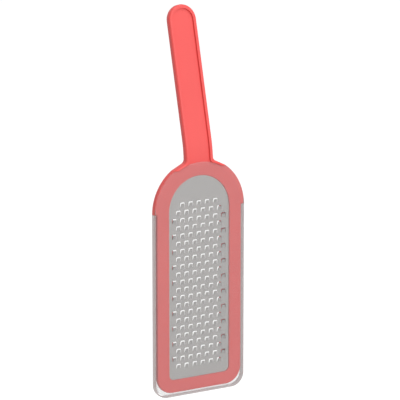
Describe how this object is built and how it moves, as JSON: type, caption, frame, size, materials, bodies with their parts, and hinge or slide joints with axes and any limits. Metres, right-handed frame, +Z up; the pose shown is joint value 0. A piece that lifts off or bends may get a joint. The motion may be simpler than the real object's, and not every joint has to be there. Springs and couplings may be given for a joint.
{
  "type": "rasp zester",
  "caption": "Hand-held rasp zester with a leaning handle, a steel rasp sheet held in a moulded ring, and a clear sheath that slides off downwards.",
  "frame": {"origin": "middle of the grip, half way up the leaning handle and half way through its thickness", "axes": "+Z up along the head towards the handle, -Y out of the cutting face, X across the width"},
  "size_m": [0.0746, 0.032, 0.2826],
  "materials": {
    "coral_plastic": "coral moulded plastic, satin",
    "coral_ring": "coral moulded plastic, satin",
    "rasp_steel": "satin stainless sheet",
    "clear_plastic": "clear moulded plastic, slightly milky"
  },
  "bodies": {
    "tool": {"handle_frame": "coral_plastic", "rasp_blade": "rasp_steel", "rear_frame": "coral_ring"},
    "cover": {"slide_cover": "clear_plastic"}
  },
  "joints": [
    {"name": "cover_slide", "type": "slide", "parent": "tool", "child": "cover", "axis": [0, 0, -1], "range_m": [0, 0.172]}
  ]
}
